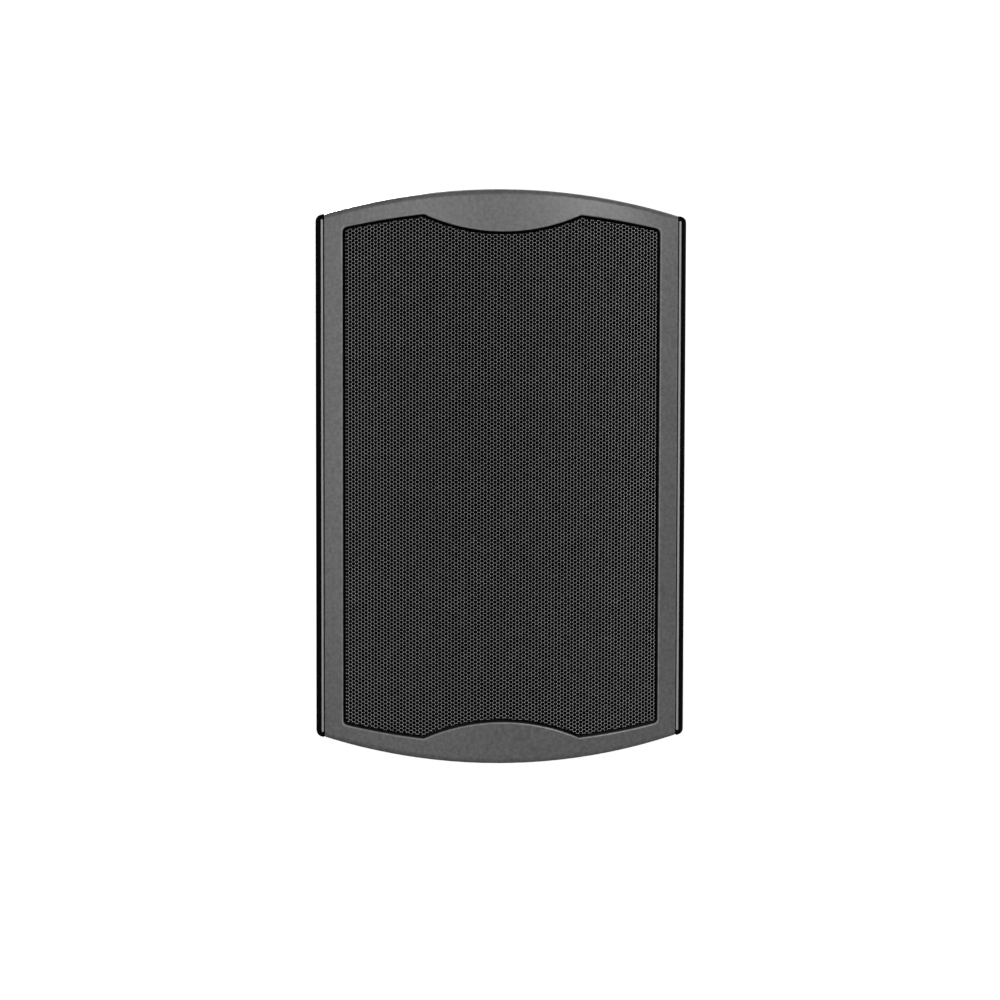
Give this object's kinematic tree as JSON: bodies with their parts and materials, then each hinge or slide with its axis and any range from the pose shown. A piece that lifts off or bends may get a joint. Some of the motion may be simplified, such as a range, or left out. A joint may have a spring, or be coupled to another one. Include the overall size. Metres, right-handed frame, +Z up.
{
  "type": "wall speaker",
  "caption": "Two-way wall speaker: bowed grey front frame with arched ends, perforated steel grille with scalloped ends, tapering black cabinet and rear bracket inserts.",
  "frame": {"origin": "centre of the four rear bracket inserts, on the flat rear face", "axes": "+Z up, +Y out of the rear face towards the wall, +X to the right of someone facing the grille"},
  "size_m": [0.2138, 0.186, 0.33],
  "materials": {
    "cabinet_black": "fine matte texture",
    "trim_grey": "satin",
    "frame_grey": "satin paint with a fine grain",
    "grille_grey": "satin powder coat",
    "scrim_black": "open acoustic cloth",
    "gasket_foam": "closed-cell foam",
    "screw_black": "black oxide",
    "screw_zinc": "zinc plate",
    "basket_black": "black stove enamel",
    "trim_rubber": "moulded rubber",
    "surround_rubber": "soft half roll",
    "cone_grey": "mineral-filled polymer",
    "cap_black": "satin",
    "coil_former": "thin foil former",
    "spider_cloth": "resin-dipped cloth",
    "plate_zinc": "zinc plate",
    "ferrite": "sintered ferrite",
    "tag_metal": "tinned tags",
    "waveguide_black": "fine matte texture",
    "dome_cloth": "coated cloth",
    "insert_brass": "knurled and tapped",
    "cup_black": "moulded",
    "lever_red": "gloss",
    "lever_black": "gloss",
    "board_green": "solder mask",
    "coil_wire": "enamelled wire",
    "capacitor_film": "wrapped film",
    "resistor_white": "cement",
    "wadding": "polyester wadding"
  },
  "bodies": {
    "cabinet": {"rear_cabinet": "cabinet_black", "side_trims": "trim_grey", "front_baffle": "frame_grey", "baffle_gasket": "gasket_foam", "baffle_screws": "screw_black", "grille": "grille_grey", "grille_scrim": "scrim_black", "woofer_basket": "basket_black", "woofer_trim_ring": "trim_rubber", "woofer_surround": "surround_rubber", "woofer_spider": "spider_cloth", "woofer_top_plate": "plate_zinc", "woofer_magnet": "ferrite", "woofer_yoke": "plate_zinc", "woofer_terminals": "tag_metal", "woofer_screws": "screw_black", "tweeter_waveguide": "waveguide_black", "tweeter_suspension": "dome_cloth", "tweeter_top_plate": "plate_zinc", "tweeter_magnet": "ferrite", "tweeter_yoke": "plate_zinc", "tweeter_screws": "screw_black", "wall_inserts": "insert_brass", "terminal_cup": "cup_black", "terminal_gasket": "gasket_foam", "terminal_contacts": "tag_metal", "terminal_pin": "plate_zinc", "terminal_screws": "screw_black", "crossover_board": "board_green", "crossover_inductor": "coil_wire", "crossover_capacitors": "capacitor_film", "crossover_resistor": "resistor_white", "crossover_screws": "screw_zinc", "damping_pad": "wadding"},
    "woofer_diaphragm": {"woofer_cone": "cone_grey", "woofer_dust_cap": "cap_black", "woofer_voice_coil": "coil_former"},
    "tweeter_diaphragm": {"tweeter_dome": "dome_cloth", "tweeter_voice_coil": "coil_former"},
    "red_lever": {"terminal_lever_red": "lever_red"},
    "black_lever": {"terminal_lever_black": "lever_black"}
  },
  "joints": [
    {"name": "woofer_travel", "type": "slide", "parent": "cabinet", "child": "woofer_diaphragm", "axis": [0, -1, 0], "range_m": [-0.004, 0.004], "stiffness_N_per_m": 1500, "deforming": ["woofer_surround", "woofer_spider"]},
    {"name": "tweeter_travel", "type": "slide", "parent": "cabinet", "child": "tweeter_diaphragm", "axis": [0, -1, 0], "range_m": [-0.0003, 0.0003], "stiffness_N_per_m": 200, "deforming": ["tweeter_suspension"]},
    {"name": "red_lever_turn", "type": "hinge", "parent": "cabinet", "child": "red_lever", "pos_m": [-0.0095, -0.007, -0.055], "axis": [-1, 0, 0], "range_deg": [0, 22], "stiffness_Nm_per_rad": 0.05},
    {"name": "black_lever_turn", "type": "hinge", "parent": "cabinet", "child": "black_lever", "pos_m": [0.0095, -0.007, -0.055], "axis": [-1, 0, 0], "range_deg": [0, 22], "stiffness_Nm_per_rad": 0.05}
  ]
}
